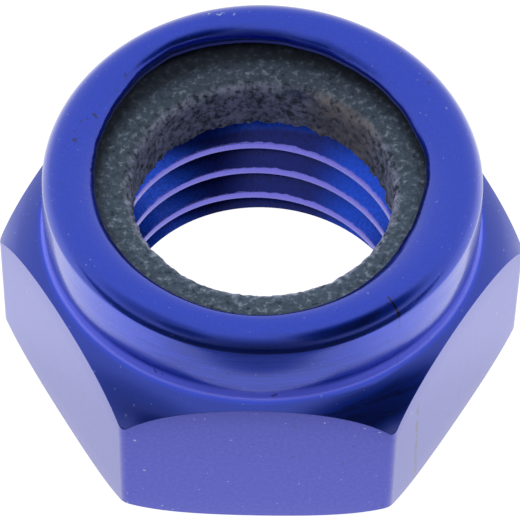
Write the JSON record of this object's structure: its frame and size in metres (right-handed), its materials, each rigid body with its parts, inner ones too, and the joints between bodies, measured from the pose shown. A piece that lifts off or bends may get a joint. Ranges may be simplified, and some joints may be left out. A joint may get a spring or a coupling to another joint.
{
  "type": "nylon insert lock nut",
  "caption": "Hex lock nut with a collar rolled over a polymer locking ring, for a fine metric bolt.",
  "frame": {"origin": "on the bore axis, in the plane of the bearing face", "axes": "+Z along the bore axis, from the bearing face towards the collar; two corners of the hexagon on the X axis"},
  "size_m": [0.016, 0.014, 0.0085],
  "materials": {
    "anodised_aluminium": "blue anodised, satin",
    "locking_polymer": "rough, slate grey"
  },
  "bodies": {
    "root": {"nut_body": "anodised_aluminium", "locking_ring": "locking_polymer"}
  },
  "joints": []
}
